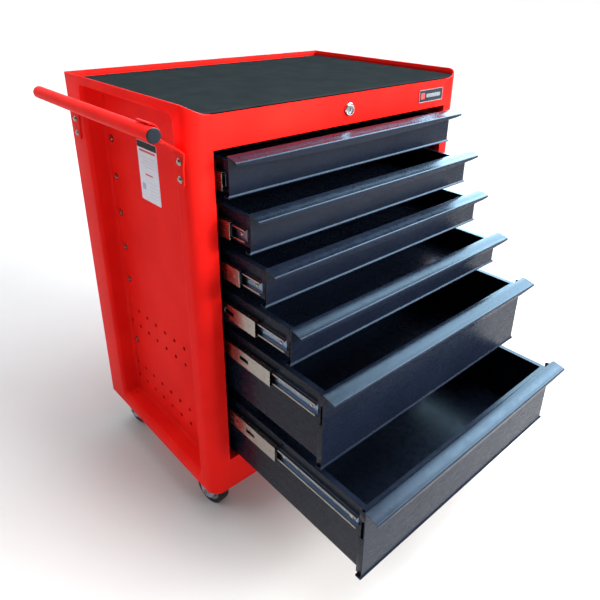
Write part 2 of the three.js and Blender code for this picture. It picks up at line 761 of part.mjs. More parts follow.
for (const { name, side, end, turn, brake } of CASTERS) {
  const caster = new THREE.Group();
  const y = end === 0 ? CASTER_INSET_Y : BODY_DEPTH - CASTER_INSET_Y;
  caster.position.set(side * (HALF - CASTER_INSET_X), y, 0);
  toolBox.add(caster);
  node(`caster_plate_${name}`, casterPlate(), "zinc", caster);
  const swivel = new THREE.Group();
  swivel.rotation.z = THREE.MathUtils.degToRad(turn);
  caster.add(swivel);
  node(`caster_fork_${name}`, casterFork(brake), "zinc", swivel);
  node(`caster_wheel_${name}`, casterWheel(), "tyre", swivel);
  if (brake) node(`brake_pedal_${name}`, brakePedal(), "zinc", swivel);
}

// ---------------------------------------------------------------- origin

// the origin is on the floor, under the middle of the whole tool box as it stands
toolBox.updateMatrixWorld(true);
const bounds = new THREE.Box3().setFromObject(toolBox);
const middle = bounds.getCenter(new THREE.Vector3());
toolBox.position.set(-middle.x, -middle.y, -bounds.min.z);

export default toolBox;
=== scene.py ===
"""Looks of the rolling tool box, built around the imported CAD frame.

Lengths in the functions are in millimetres in the body's frame, as in part.mjs: x = 0 is the middle
of the cabinet, y = 0 is its front face, and z = 0 is its underside. place() turns them into the
row's frame in metres.
"""

import json
import math

import bmesh
import bpy
from mathutils import Matrix, Vector


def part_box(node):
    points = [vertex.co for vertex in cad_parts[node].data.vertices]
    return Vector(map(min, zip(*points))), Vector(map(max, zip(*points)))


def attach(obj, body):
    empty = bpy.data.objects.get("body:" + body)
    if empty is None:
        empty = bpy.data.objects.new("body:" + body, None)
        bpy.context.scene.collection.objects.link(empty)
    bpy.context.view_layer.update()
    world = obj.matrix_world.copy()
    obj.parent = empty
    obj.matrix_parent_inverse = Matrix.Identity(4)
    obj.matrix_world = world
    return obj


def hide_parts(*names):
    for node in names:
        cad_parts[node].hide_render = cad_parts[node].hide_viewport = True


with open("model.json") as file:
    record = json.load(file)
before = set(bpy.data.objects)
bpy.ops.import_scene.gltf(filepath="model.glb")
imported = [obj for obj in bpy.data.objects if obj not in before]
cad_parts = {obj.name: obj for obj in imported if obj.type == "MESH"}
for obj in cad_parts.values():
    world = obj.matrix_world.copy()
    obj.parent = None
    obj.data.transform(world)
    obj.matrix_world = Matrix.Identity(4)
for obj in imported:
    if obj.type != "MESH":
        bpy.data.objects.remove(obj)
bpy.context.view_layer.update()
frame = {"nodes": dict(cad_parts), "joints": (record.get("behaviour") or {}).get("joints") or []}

# ---------------------------------------------------------------- dimensions

MM = 0.001
GAP = 0.3                # between the body and what is bolted to it
SHEET = 1.2              # thickness of the folded steel
SHARP = math.radians(35) # bends above this angle get a small radius

panel_low, panel_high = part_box("side_panel_right")
back_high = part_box("back_panel")[1]
base_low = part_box("base_pan")[0]
HALF = (panel_high.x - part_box("side_panel_left")[0].x) / 2 / MM
ORIGIN = Vector((panel_high.x - HALF * MM, panel_low.y, base_low.z))
DEPTH = (back_high.y - panel_low.y) / MM
HEIGHT = (panel_high.z - panel_low.z) / MM
FLOOR = -ORIGIN.z / MM


def local(point):
    """A point of the row's frame, in the body's frame in millimetres."""
    return (Vector(point) - ORIGIN) / MM


def span(node):
    """The lowest and highest corner of a CAD node, in the body's frame in millimetres."""
    low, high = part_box(node)
    return local(low), local(high)


CORNER = 26              # radius of the front posts
OPENING = 297.5          # half width of the drawer opening
OPENING_LOW = 75
OPENING_HIGH = 704.5
OPENING_RETURN = 16      # depth of the opening's folded edges
DECK = 761
RIM_FALL = 57.3          # length over which the rim comes down to the deck
RIM_FOLD = 9             # how far the folded rim reaches down inside
RECESS_X = 300
RECESS_Y = (50, 386)
RECESS_Z = (30, 758.3)
HOLE_ROWS = (73, 111, 227, 266.5)
FIRST_HOLE = 143
HOLE_STEP = 38.7
HOLES = [(FIRST_HOLE + HOLE_STEP * i, z) for z in HOLE_ROWS for i in range(7)]
HOLE_RADIUS = 4.3
BOLT_Y = 363
BOLT_OPENING = 7.6
LEDGE_SCREW = (319, 370) # x and y of the screw in the recess's lower ledge

DRAWERS = range(1, 7)
FRONT_HALF = 291         # half width of the lip and the hem
FACE_HALF = 287
BOX_HALF = 279
SLIDE_DROP = 46          # from the front's top down to the middle of the slide
SLIDE_ENDS = (20.2, 419.8)
CLOSED_STOP = 8.5        # where a slide's end piece starts while its drawer is closed
BALL_LEVEL = 12.65       # above and below the middle of the slide
BALL_RADIUS = 1.6
BALL_STEP = 9
PULLED_OUT = {n: -span(f"drawer_box_{n}")[0].y + 1.5 for n in DRAWERS}
FRONT_TOP = {n: span(f"drawer_front_{n}")[1].z for n in DRAWERS}
FRONT_LOW = {n: span(f"drawer_front_{n}")[0].z for n in DRAWERS}
SLIDE = {n: FRONT_TOP[n] - SLIDE_DROP for n in DRAWERS}

HANDLE_X = -393
HANDLE_Z = 742.6
HANDLE_RADIUS = 11.5
BRACKETS = (30, 424)
BRACKET_SHEET = 2.2
BRACKET_SCREWS = (("front", 27, (661.5, 690)), ("rear", 424, (661.5, 689.5)))
LOCK_Z = 732.5
LOCK_FACE = -3.3

TYRE_RADIUS = 37.5
TYRE_HALF = 13.5         # half width
TYRE_EDGE = 5.5          # radius of the tyre's shoulders
FORK_HALF = 18.5         # from the middle of the wheel to the fork's outer face
PLATE_HOLES = [(dx, dy) for dx in (-32, 32) for dy in (-26, 26)]
RACE_HEIGHT = 92         # above the floor

CAMERA_AT = (-776.0, -741.2, 943.4)
FLOOR_HALF = 40          # in metres, in the row's frame, like the lamps' places
LIT_HEIGHT = 0.45        # in metres: the lamps point at about the middle of the box

# ---------------------------------------------------------------- points and meshes


def place(x, y, z):
    return Vector((x * MM, y * MM, z * MM)) + ORIGIN


def arc(centre, radius, start, end, steps):
    """Points on an arc, angles in degrees."""
    points = []
    for i in range(steps + 1):
        angle = math.radians(start + (end - start) * i / steps)
        points.append((centre[0] + radius * math.cos(angle), centre[1] + radius * math.sin(angle)))
    return points


def rounded_rectangle(low, high, radius, steps=6):
    """Four rounded corners of steps + 1 points each, counter-clockwise from the low one."""
    (u0, v0), (u1, v1) = low, high
    corners = [(u0 + radius, v0 + radius, 180), (u1 - radius, v0 + radius, 270),
               (u1 - radius, v1 - radius, 0), (u0 + radius, v1 - radius, 90)]
    return [p for u, v, turn in corners for p in arc((u, v), radius, turn, turn + 90, steps)]


def smoothstep(value, low, high):
    t = min(max((value - low) / (high - low), 0), 1)
    return t * t * (3 - 2 * t)


class Shape:
    """A mesh that is collected face by face, in the body's frame in millimetres."""

    def __init__(self):
        self.mesh = bmesh.new()

    def point(self, x, y, z):
        return self.mesh.verts.new(place(x, y, z))

    def strip(self, rows, closed=False):
        """Quads between rows of points. A closed row's last point joins its first."""
        made = [[self.point(*p) for p in row] for row in rows]
        count = len(made[0])
        for a, b in zip(made, made[1:]):
            for i in range(count if closed else count - 1):
                j = (i + 1) % count
                self.mesh.faces.new((a[i], a[j], b[j], b[i]))
        return made

    def loft(self, rings):
        """A closed body through closed rings of points."""
        made = self.strip(rings, closed=True)
        self.mesh.faces.new(list(reversed(made[0])))
        self.mesh.faces.new(made[-1])
        return made

    def prism(self, outline, axis, start, end):
        """A closed outline drawn out along an axis."""
        order = {"x": lambda u, v, w: (w, u, v), "y": lambda u, v, w: (u, w, v),
                 "z": lambda u, v, w: (u, v, w)}[axis]
        self.loft([[order(u, v, w) for u, v in outline] for w in (start, end)])
        return self

    def block(self, x, y, z):
        return self.prism([(x[0], y[0]), (x[1], y[0]), (x[1], y[1]), (x[0], y[1])], "z", *z)

    def lathe(self, profile, centre, axis, sides=32):
        """Turns a profile of (radius, height) points about an axis. It is closed at both ends."""
        direction = Vector(axis).normalized()
        first = direction.orthogonal().normalized()
        second = direction.cross(first)
        rings = []
        for radius, height in profile:
            ring = []
            for i in range(sides):
                angle = 2 * math.pi * i / sides
                arm = first * math.cos(angle) + second * math.sin(angle)
                ring.append(tuple(Vector(centre) + direction * height + arm * radius))
            rings.append(ring)
        self.loft(rings)
        return self

    def rod(self, start, end, radius, sides=12):
        line = Vector(end) - Vector(start)
        edge = min(radius * 0.25, 0.5)
        length = line.length
        profile = [(radius - edge, 0), (radius, edge), (radius, length - edge), (radius - edge, length)]
        return self.lathe(profile, start, line, sides)

    def filled(self, loops):
        """A flat face inside the first loop of points, with the other loops as holes."""
        edges = []
        for loop in loops:
            verts = [self.point(*p) for p in loop]
            edges += [self.mesh.edges.new((verts[i - 1], verts[i])) for i in range(len(verts))]
        bmesh.ops.triangle_fill(self.mesh, use_beauty=True, use_dissolve=False, edges=edges)
        return self


MATERIALS = {}


def finish_mesh(thing, angle=32):
    """Bakes the modifiers into the mesh and smooths what bends less than the angle."""
    graph = bpy.context.evaluated_depsgraph_get()
    mesh = bpy.data.meshes.new_from_object(thing.evaluated_get(graph))
    thing.modifiers.clear()
    thing.data = mesh
    mesh.polygons.foreach_set("use_smooth", [True] * len(mesh.polygons))
    mesh.set_sharp_from_angle(angle=math.radians(angle))
    return thing


def piece(name, shape, material, body, bevel=0.0, thickness=0.0, replaces=(), outward=None,
          segments=2):
    """Turns a Shape into an object that rides on a body. An open sheet says which way it faces."""
    bm = shape.mesh
    bmesh.ops.remove_doubles(bm, verts=bm.verts, dist=2e-6)
    bmesh.ops.recalc_face_normals(bm, faces=bm.faces)
    bm.normal_update()
    if outward:
        largest = max(bm.faces, key=lambda face: face.calc_area())
        if largest.normal.dot(Vector(outward)) < 0:
            bmesh.ops.reverse_faces(bm, faces=bm.faces)
    mesh = bpy.data.meshes.new(name)
    bm.to_mesh(mesh)
    bm.free()
    thing = bpy.data.objects.new(name, mesh)
    bpy.context.scene.collection.objects.link(thing)
    if thickness:
        solid = thing.modifiers.new("thickness", "SOLIDIFY")
        solid.thickness = thickness * MM
        solid.offset = -1
        solid.use_even_offset = True
    if bevel:
        edges = thing.modifiers.new("edges", "BEVEL")
        edges.width = bevel * MM
        edges.segments = segments
        edges.limit_method = "ANGLE"
        edges.angle_limit = SHARP
    finish_mesh(thing)
    thing.data.materials.append(MATERIALS[material])
    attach(thing, body)
    if replaces:
        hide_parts(*replaces)
    return thing


def mirrored(points, side):
    return [(side * x, y, z) for x, y, z in points]


# ---------------------------------------------------------------- materials


def new_material(name, color, roughness, metallic=0.0):
    material = bpy.data.materials.new(name)
    material.use_nodes = True
    shader = material.node_tree.nodes["Principled BSDF"]
    shader.inputs["Base Color"].default_value = (*color, 1)
    shader.inputs["Roughness"].default_value = roughness
    shader.inputs["Metallic"].default_value = metallic
    MATERIALS[name] = material
    return material.node_tree, shader


def noise(tree, scale, detail=3.0, stretch=(1, 1, 1), roughness=0.5):
    """Object-space noise with features about 1 / scale metres wide."""
    coordinates = tree.nodes.new("ShaderNodeTexCoord")
    mapping = tree.nodes.new("ShaderNodeMapping")
    mapping.inputs["Scale"].default_value = stretch
    texture = tree.nodes.new("ShaderNodeTexNoise")
    texture.inputs["Scale"].default_value = scale
    texture.inputs["Detail"].default_value = detail
    texture.inputs["Roughness"].default_value = roughness
    tree.links.new(coordinates.outputs["Object"], mapping.inputs["Vector"])
    tree.links.new(mapping.outputs["Vector"], texture.inputs["Vector"])
    return texture.outputs["Fac"]


def ramp(tree, value, stops):
    node = tree.nodes.new("ShaderNodeValToRGB")
    elements = node.color_ramp.elements
    while len(elements) < len(stops):
        elements.new(0.5)
    for element, (position, color) in zip(elements, stops):
        element.position = position
        element.color = (*color, 1) if len(color) == 3 else color
    tree.links.new(value, node.inputs["Fac"])
    return node.outputs["Color"]


def spread(tree, value, low, high, source=(0.3, 0.7)):
    node = tree.nodes.new("ShaderNodeMapRange")
    node.inputs["From Min"].default_value = source[0]
    node.inputs["From Max"].default_value = source[1]
    node.inputs["To Min"].default_value = low
    node.inputs["To Max"].default_value = high
    tree.links.new(value, node.inputs["Value"])
    return node.outputs["Result"]


def bump(tree, shader, height, strength, distance):
    node = tree.nodes.new("ShaderNodeBump")
    node.inputs["Strength"].default_value = strength
    node.inputs["Distance"].default_value = distance
    tree.links.new(height, node.inputs["Height"])
    tree.links.new(node.outputs["Normal"], shader.inputs["Normal"])


def edge_wear_and_highlight(tree, color, wear_highlight_color, amount):
    """Lightens what sticks out: a little wear where hands and tools rub, and a painted highlight along
    the edges.
    """
    geometry = tree.nodes.new("ShaderNodeNewGeometry")
    mask = tree.nodes.new("ShaderNodeMapRange")
    mask.inputs["From Min"].default_value = 0.56
    mask.inputs["From Max"].default_value = 0.66
    mask.inputs["To Max"].default_value = amount
    tree.links.new(geometry.outputs["Pointiness"], mask.inputs["Value"])
    mix = tree.nodes.new("ShaderNodeMix")
    mix.data_type = "RGBA"
    tree.links.new(mask.outputs["Result"], mix.inputs["Factor"])
    tree.links.new(color, mix.inputs["A"])
    mix.inputs["B"].default_value = (*wear_highlight_color, 1)
    return mix.outputs["Result"]


def powder_coat(name, shades, roughness, peel, coat, coat_roughness, gloss, edge):
    """Gloss paint on sheet steel: faint cloudiness, orange peel, and fine scuffs in the gloss."""
    tree, shader = new_material(name, shades[1], roughness)
    clouds = noise(tree, 9, 2)
    color = ramp(tree, clouds, [(0.3, shades[0]), (0.5, shades[1]), (0.72, shades[2])])
    # the edges get a lighter shade of the paint: wear and a painted highlight
    color = edge_wear_and_highlight(tree, color, edge, 0.08)
    tree.links.new(color, shader.inputs["Base Color"])
    scuffs = noise(tree, 60, 6, (1, 1, 3), 0.65)
    tree.links.new(spread(tree, scuffs, roughness - 0.05, roughness + 0.1), shader.inputs["Roughness"])
    bump(tree, shader, noise(tree, 420, 1), peel, 0.0006)
    shader.inputs["Coat Weight"].default_value = coat
    shader.inputs["Coat Roughness"].default_value = coat_roughness
    shader.inputs["Specular IOR Level"].default_value = gloss


def plated(name, color, roughness, grain, spangle=0.0):
    """Plated steel: a fine grain along the sheet and cloudy patches in its shine."""
    tree, shader = new_material(name, color, roughness, 1.0)
    patches = noise(tree, 70, 4)
    dark = tuple(c * (1 - spangle) for c in color)
    tree.links.new(ramp(tree, patches, [(0.35, dark), (0.62, color)]), shader.inputs["Base Color"])
    lines = noise(tree, 900, 2, (1, 0.06, 1))
    tree.links.new(spread(tree, lines, roughness - grain, roughness + grain), shader.inputs["Roughness"])
    bump(tree, shader, lines, 0.02, 0.0001)


def rubber(name, shades, roughness, scale, strength, gloss):
    tree, shader = new_material(name, shades[0], roughness)
    dust = noise(tree, 25, 5)
    tree.links.new(ramp(tree, dust, [(0.35, shades[0]), (0.7, shades[1])]), shader.inputs["Base Color"])
    grain = noise(tree, scale, 2)
    tree.links.new(spread(tree, grain, roughness - 0.08, roughness + 0.08), shader.inputs["Roughness"])
    bump(tree, shader, grain, strength, 0.0005)
    shader.inputs["Specular IOR Level"].default_value = gloss


def plain(name, shades, roughness, metallic=0.0, scale=300, strength=0.05, gloss=0.5):
    """Moulded plastic, printed film or polished metal with a faint fine texture."""
    tree, shader = new_material(name, shades[0], roughness, metallic)
    fine = noise(tree, scale, 3)
    tree.links.new(ramp(tree, fine, [(0.4, shades[0]), (0.65, shades[1])]), shader.inputs["Base Color"])
    tree.links.new(spread(tree, fine, roughness * 0.85, roughness * 1.2), shader.inputs["Roughness"])
    bump(tree, shader, fine, strength, 0.0003)
    shader.inputs["Specular IOR Level"].default_value = gloss


def make_materials():
    # the last colour of each paint is its lighter edge: wear and a painted highlight
    powder_coat("red_paint", [(0.74, 0.009, 0.007), (0.79, 0.012, 0.009), (0.83, 0.016, 0.011)],
                0.36, 0.05, 0.0, 0.2, 0.02, (0.88, 0.04, 0.03))
    powder_coat("charcoal_paint",
                [(0.0042, 0.0066, 0.0140), (0.0050, 0.0078, 0.0165), (0.0062, 0.0095, 0.0195)],
                0.26, 0.02, 0.0, 0.2, 0.10, (0.06, 0.09, 0.13))
    plated("zinc", (0.34, 0.33, 0.29), 0.26, 0.02, 0.05)
    # a darker, bluer copy of the zinc: painted shade in the channel of the drawers' slide members
    plated("zinc_painted_shade", (0.20, 0.26, 0.36), 0.3, 0.02, 0.06)
    plated("fork_zinc", (0.46, 0.53, 0.66), 0.3, 0.03, 0.1)
    plain("chrome", [(0.50, 0.51, 0.53), (0.45, 0.46, 0.48)], 0.12, 1.0, 500, 0.01)
    rubber("mat_rubber", [(0.014, 0.019, 0.021), (0.018, 0.024, 0.026)], 0.85, 1400, 0.2, 0.0)
    rubber("tyre_rubber", [(0.008, 0.008, 0.009), (0.018, 0.017, 0.016)], 0.6, 900, 0.12, 0.3)
    plain("black_plastic", [(0.009, 0.012, 0.017), (0.013, 0.016, 0.021)], 0.42, 0, 700, 0.12, 0.1)
    plain("wheel_plastic", [(0.30, 0.31, 0.33), (0.24, 0.25, 0.27)], 0.4, 0, 500, 0.08)
    plain("label_film", [(0.66, 0.70, 0.78), (0.61, 0.65, 0.74)], 0.4, 0, 200, 0.02)
    plain("label_pale", [(0.46, 0.50, 0.57), (0.50, 0.53, 0.60)], 0.4, 0, 200, 0.02)
    plain("label_red", [(0.55, 0.02, 0.02), (0.60, 0.04, 0.03)], 0.4, 0, 200, 0.02)
    plain("label_grey", [(0.30, 0.36, 0.48), (0.34, 0.39, 0.50)], 0.4, 0, 200, 0.02)
    plain("badge_silver", [(0.70, 0.72, 0.75), (0.62, 0.64, 0.67)], 0.25, 1.0, 400, 0.02)


def soften(node, material, width=0.45, second=None):
    """A CAD node keeps its shape, and gets its finish and the small radii of a folded sheet."""
    thing = frame["nodes"][node]
    thing.data.materials.clear()
    thing.data.materials.append(MATERIALS[material])
    if second:
        thing.data.materials.append(MATERIALS[second])
    weld = thing.modifiers.new("weld", "WELD")
    weld.merge_threshold = 1e-5
    flat = thing.modifiers.new("flat", "DECIMATE")
    flat.decimate_type = "DISSOLVE"
    flat.angle_limit = math.radians(0.5)
    flat.delimit = {"MATERIAL"}
    edges = thing.modifiers.new("edges", "BEVEL")
    edges.width = width * MM
    edges.segments = 2
    edges.limit_method = "ANGLE"
    edges.angle_limit = SHARP
    edges.harden_normals = True
    return thing


# ---------------------------------------------------------------- cabinet


def rim_height(x, y):
    """The rim falls to the deck along the rounded corner and on to the opening."""
    start = HALF - CORNER
    if x >= start:
        along = CORNER * math.atan2(CORNER - min(y, CORNER), max(x - start, 1e-6))
    else:
        along = CORNER * math.pi / 2 + start - x
    return DECK + (HEIGHT - DECK) * (1 - smoothstep(along, 0, RIM_FALL))


def side_panel(side, node):
    """The folded side with its rounded post, the pressed recess with its holes, and a hemmed rim."""
    shape = Shape()
    soft = 9  # the recess is drawn in over a soft edge, which is wider along its foot
    soft_foot = 15
    soft_head = 2.5
    floor_bend = 8
    corner = 8
    rear_bend = 3
    y_front = RECESS_Y[0] - soft - 1
    y_back = RECESS_Y[1] + soft + 1
    z_low = RECESS_Z[0] - soft_foot - 1
    z_high = RECESS_Z[1] + soft_head + 1
    # the outside as seen from above, from the opening round to the back
    line = [(OPENING, 0.0), (OPENING + 5, 0.0), (OPENING + 11, 0.0)]
    line += arc((HALF - CORNER, CORNER), CORNER, -90, 0, 18)
    start = len(line)
    line += [(HALF, y_front), (HALF, y_back)]
    line += arc((HALF - rear_bend, DEPTH - rear_bend), rear_bend, 0, 90, 4)
    line += [(OPENING, DEPTH)]
    hem = 1.3
    rims = [rim_height(x, y) if y < DEPTH / 2 else HEIGHT for x, y in line]

    def inward(i):
        along = (Vector(line[min(i + 1, len(line) - 1)]) - Vector(line[max(i - 1, 0)])).normalized()
        return Vector((-along.y, along.x))

    def row(columns, height, inset=0.0):
        points = []
        for i in columns:
            x, y = Vector(line[i]) + inward(i) * inset
            points.append((side * x, y, height(i)))
        return points

    def middle(i):
        return min(z_high, rims[i] - hem - 1)

    whole = range(len(line))
    shape.strip([row(whole, lambda i: 0.0), row(whole, lambda i: z_low)])
    for part in (range(start + 1), range(start + 1, len(line))):
        shape.strip([row(part, lambda i: z_low), row(part, middle)])
    # the hem is folded inwards over the top
    turns = [math.pi * k / 6 for k in range(7)]
    fold = [row(whole, middle)]
    fold += [row(whole, lambda i: rims[i] - hem + hem * math.sin(t), hem * (1 - math.cos(t)))
             for t in turns]
    fold.append(row(whole, lambda i: rims[i] - RIM_FOLD, 2 * hem))
    shape.strip(fold)

    def ring(share, x):
        grow = soft * share
        foot, head = (soft_foot * share, soft_head * share) if share > 0 else (grow, grow)
        low = (RECESS_Y[0] - grow, RECESS_Z[0] - foot)
        high = (RECESS_Y[1] + grow, RECESS_Z[1] + head)
        return [(side * x, y, z) for y, z in rounded_rectangle(low, high, corner + max(grow, -4))]

    mouth = [(HALF, y_front, z_low), (HALF, y_back, z_low), (HALF, y_back, z_high),
             (HALF, y_front, z_high)]
    shape.filled([mirrored(mouth, side), ring(1, HALF)])
    steps = 7
    rings = []
    for i in range(steps + 1):
        angle = math.pi / 2 * i / steps
        rings.append(ring(1 - math.sin(angle), HALF - soft * (1 - math.cos(angle))))
    for i in range(6):
        angle = math.pi / 2 * i / 5
        inset = -floor_bend / soft * (1 - math.cos(angle))
        rings.append(ring(inset, RECESS_X + floor_bend * (1 - math.sin(angle))))
    shape.strip(rings, closed=True)
    loops = [rings[-1]]
    for y, z in HOLES:
        loops.append([(side * RECESS_X, u, v) for u, v in arc((y, z), HOLE_RADIUS, 0, 337.5, 15)])
    for n in DRAWERS:
        outline = arc((BOLT_Y, SLIDE[n]), BOLT_OPENING, 0, 345, 23)
        loops.append([(side * RECESS_X, u, v) for u, v in outline])
    shape.filled(loops)
    return piece(node + "_sheet", shape, "red_paint", "cabinet", thickness=SHEET,
                 outward=(side, 0, 0), replaces=[node])


def opening_returns():
    """The folded edges of the drawer opening beside the drawers."""
    for side, name in ((-1, "left"), (1, "right")):
        shape = Shape()
        outline = [(OPENING, 0.4), (OPENING + SHEET, 0.4), (OPENING + SHEET, OPENING_RETURN),
                   (OPENING, OPENING_RETURN)]
        shape.prism([(side * x, y) for x, y in outline], "z", OPENING_LOW, OPENING_HIGH)
        piece(f"opening_return_{name}", shape, "red_paint", "cabinet", bevel=0.4)


def dome(shape, centre, axis, radius, height, sides=20):
    """A button head."""
    steps = 5
    profile = [(radius, 0), (radius, height * 0.35)]
    for i in range(1, steps + 1):
        angle = math.pi / 2 * i / steps
        profile.append((radius * math.cos(angle) * 0.98 + 0.02, height * (0.35 + 0.65 * math.sin(angle))))
    shape.lathe(profile, centre, axis, sides)


def recess_bolts():
    """A cap on each bolt of the slide racks, and the screw of the recess's lower ledge."""
    for side, name in ((-1, "left"), (1, "right")):
        for n in DRAWERS:
            shape = Shape()
            dome(shape, (side * (RECESS_X + 0.2), BOLT_Y, SLIDE[n]), (side, 0, 0), 5.2, 3.1)
            piece(f"recess_bolt_{name}_{n}", shape, "zinc", "cabinet")
        screw = Shape()
        dome(screw, (side * LEDGE_SCREW[0], LEDGE_SCREW[1], RECESS_Z[0] - 0.2), (0, 0, 1), 4.2, 2.4)
        piece(f"ledge_screw_{name}", screw, "red_paint", "cabinet")


def front_header():
    """The bar above the drawers, level with the posts, with a return over the opening."""
    low, high = span("front_header")
    bend = 1.5
    path = [(high.y, low.z), (bend, low.z)]
    path += arc((bend, low.z + bend), bend, 270, 180, 4)
    path += [(0, DECK - 0.4)]
    shape = Shape()
    shape.strip([[(x, y, z) for x in (-OPENING, 0, OPENING)] for y, z in path])
    piece("header_folded", shape, "red_paint", "cabinet", thickness=SHEET, outward=(0, -1, 0),
          replaces=["front_header"])


def bracket_screws():
    for name, y, heights in BRACKET_SCREWS:
        for i, z in enumerate(heights):
            shape = Shape()
            x = -HALF - GAP - BRACKET_SHEET
            shape.lathe([(5.6, 0), (6.2, 0.3), (6.2, 0.9), (5.6, 1.2)], (x, y, z), (-1, 0, 0), 28)
            dome(shape, (x - 1.2, y, z), (-1, 0, 0), 4.4, 3.0, 24)
            piece(f"bracket_screw_{name}_{i + 1}", shape, "zinc", "cabinet")


def handle():
    low, high = span("handle_tube")
    shape = Shape()
    shape.lathe([(HANDLE_RADIUS, 0), (HANDLE_RADIUS, high.y - low.y)],
                (HANDLE_X, low.y, HANDLE_Z), (0, 1, 0), 56)
    piece("handle_tube_round", shape, "red_paint", "cabinet", replaces=["handle_tube"])
    for end, y, way in (("front", low.y, -1), ("rear", high.y, 1)):
        shape = Shape()
        outer = HANDLE_RADIUS
        profile = [(outer, 0), (outer, 1.4), (outer - 0.5, 2.3), (outer - 1.6, 2.7), (outer - 5, 2.75)]
        shape.lathe(profile, (HANDLE_X, y, HANDLE_Z), (0, way, 0), 56)
        piece(f"handle_plug_{end}", shape, "black_plastic", "cabinet",
              replaces=[f"handle_cap_{end}"])
    for name, y in zip(("front", "rear"), BRACKETS):
        bracket(name, y)


def bracket(name, y):
    """A pressed arm: a plate on the post, a sharp bend, a flaring arm and a saddle round the tube."""
    thick = BRACKET_SHEET
    face = -HALF - GAP - thick
    wrap = HANDLE_RADIUS + GAP
    bend_z = 706
    low = 650
    saddle_start = -38
    saddle_end = 88 if name == "front" else 20
    half_foot, half_low, half_high = 12, 18, 21.5
    shift = 6 if name == "front" else -5
    # the outer line of the sheet in x and z, with the strap's middle and half width along it
    line = [(face, low, y, half_foot - 3), (face, low + 4, y, half_foot),
            (face, bend_z - 26, y, half_foot + 1), (face, bend_z - 1.5, y, half_low)]
    start = (HANDLE_X + (wrap + thick) * math.cos(math.radians(saddle_start)),
             HANDLE_Z + (wrap + thick) * math.sin(math.radians(saddle_start)))
    for i in range(1, 6):
        t = i / 6
        line.append((face + (start[0] - face) * t, bend_z + (start[1] - bend_z) * t, y + shift * t,
                     half_low + (half_high - half_low) * t))
    for i in range(15):
        angle = math.radians(saddle_start + (saddle_end - saddle_start) * i / 14)
        line.append((HANDLE_X + (wrap + thick) * math.cos(angle),
                     HANDLE_Z + (wrap + thick) * math.sin(angle), y + shift, half_high))
    shape = Shape()
    rows = [[(x, middle - w * s, z) for s in (1, 0.8, 0.3, -0.3, -0.8, -1)] for x, z, middle, w in line]
    shape.strip(rows)
    piece(f"handle_bracket_{name}_pressed", shape, "red_paint", "cabinet", thickness=thick, bevel=0.7,
          outward=(-1, 0, 0), replaces=[f"handle_bracket_{name}"])


def lock():
    """Chrome lock: a domed collar that stays, and a plug that turns, with a thin black sheet as painted
    shade in its keyway.
    """
    profile = [(7.3, -1.2), (8.6, -1.6), (10.6, -1.2), (11.8, 0.0), (12, 1.2), (12, 2.9), (7.3, 2.9)]
    turned = Shape()
    made = []
    for radius, depth in profile:
        made.append([(radius * math.cos(2 * math.pi * i / 48), LOCK_FACE + depth,
                      LOCK_Z + radius * math.sin(2 * math.pi * i / 48)) for i in range(48)])
    made.append(made[0])
    turned.strip(made, closed=True)
    piece("lock_collar", turned, "chrome", "cabinet", replaces=["lock_housing"])
    soften("lock_plug", "chrome", 0.4)
    # a thin black sheet on the plug's face: painted shade of the keyway slot
    dark = Shape()
    dark.block((-0.8, 0.8), (-3.0, -2.8), (LOCK_Z - 3.8, LOCK_Z + 3.8))
    piece("lock_keyway_painted_shade", dark, "black_plastic", "lock_plug")


def badge():
    """A generic plate: dark field, bright rim, one red square and one plain light bar."""
    low, high = span("name_badge")
    x0, x1, z0, z1 = low.x, high.x, low.z, high.z
    back = high.y
    field = Shape()
    outline = rounded_rectangle((x0, z0), (x1, z1), 2.2)
    field.prism(outline, "y", back - 1.3, back)
    piece("badge_field", field, "black_plastic", "cabinet", bevel=0.3,
          replaces=["name_badge"])
    rim = Shape()
    outer = rounded_rectangle((x0, z0), (x1, z1), 2.2)
    inner = rounded_rectangle((x0 + 1.3, z0 + 1.3), (x1 - 1.3, z1 - 1.3), 1.2)
    loops = [(outer, back - 1.2), (outer, back - 1.7), (inner, back - 1.7), (inner, back - 1.2)]
    rows = [[(u, y, v) for u, v in loop] for loop, y in loops]
    rim.strip(rows + [rows[0]], closed=True)
    piece("badge_rim", rim, "badge_silver", "cabinet")
    mark = Shape()
    square = rounded_rectangle((x0 + 6, z0 + 6.5), (x0 + 18.5, z1 - 6.5), 1.2)
    mark.prism(square, "y", back - 1.6, back - 1)
    piece("badge_square", mark, "label_red", "cabinet")
    bar = Shape()
    strip = rounded_rectangle((x0 + 24, z0 + 9), (x1 - 8, z1 - 9), 1.2)
    bar.prism(strip, "y", back - 1.6, back - 1)
    piece("badge_bar", bar, "badge_silver", "cabinet")


def label():
    """A blank information label: a film with a dark band, coloured bars and no lettering."""
    low, high = span("side_label")
    x = low.x
    film = Shape()
    film.prism(rounded_rectangle((low.y, low.z), (high.y, high.z), 3), "x", x, high.x + 0.08)
    piece("label_sheet", film, "label_film", "cabinet", replaces=["side_label"])

    def patch(name, y, z, material):
        shape = Shape()
        shape.prism(rounded_rectangle((y[0], z[0]), (y[1], z[1]), 0.5, 2), "x", x - 0.12, x + 0.1)
        piece("label_" + name, shape, material, "cabinet")

    y0, y1, z0, z1 = low.y, high.y, low.z, high.z
    patch("band", (y0 + 0.6, y1 - 0.6), (z1 - 13, z1 - 0.6), "black_plastic")
    patch("bar_top", (y0 + 6, y1 - 8), (z1 - 20, z1 - 16), "label_red")
    patch("bar_middle", (y0 + 22, y0 + 50), (z0 + 52, z0 + 55), "label_red")
    patch("block", (y1 - 20, y1 - 8), (z0 + 22, z0 + 34), "label_grey")
    for i in range(4):
        z = z1 - 30 - 6 * i
        patch(f"line_top_{i + 1}", (y0 + 8, y1 - 12 - 7 * (i % 2)), (z, z + 1), "label_pale")
    for i in range(5):
        z = z0 + 10 + 7 * i
        patch(f"line_low_{i + 1}", (y0 + 8, y1 - 30 - 5 * (i % 2)), (z, z + 1), "label_pale")


# ---------------------------------------------------------------- drawers


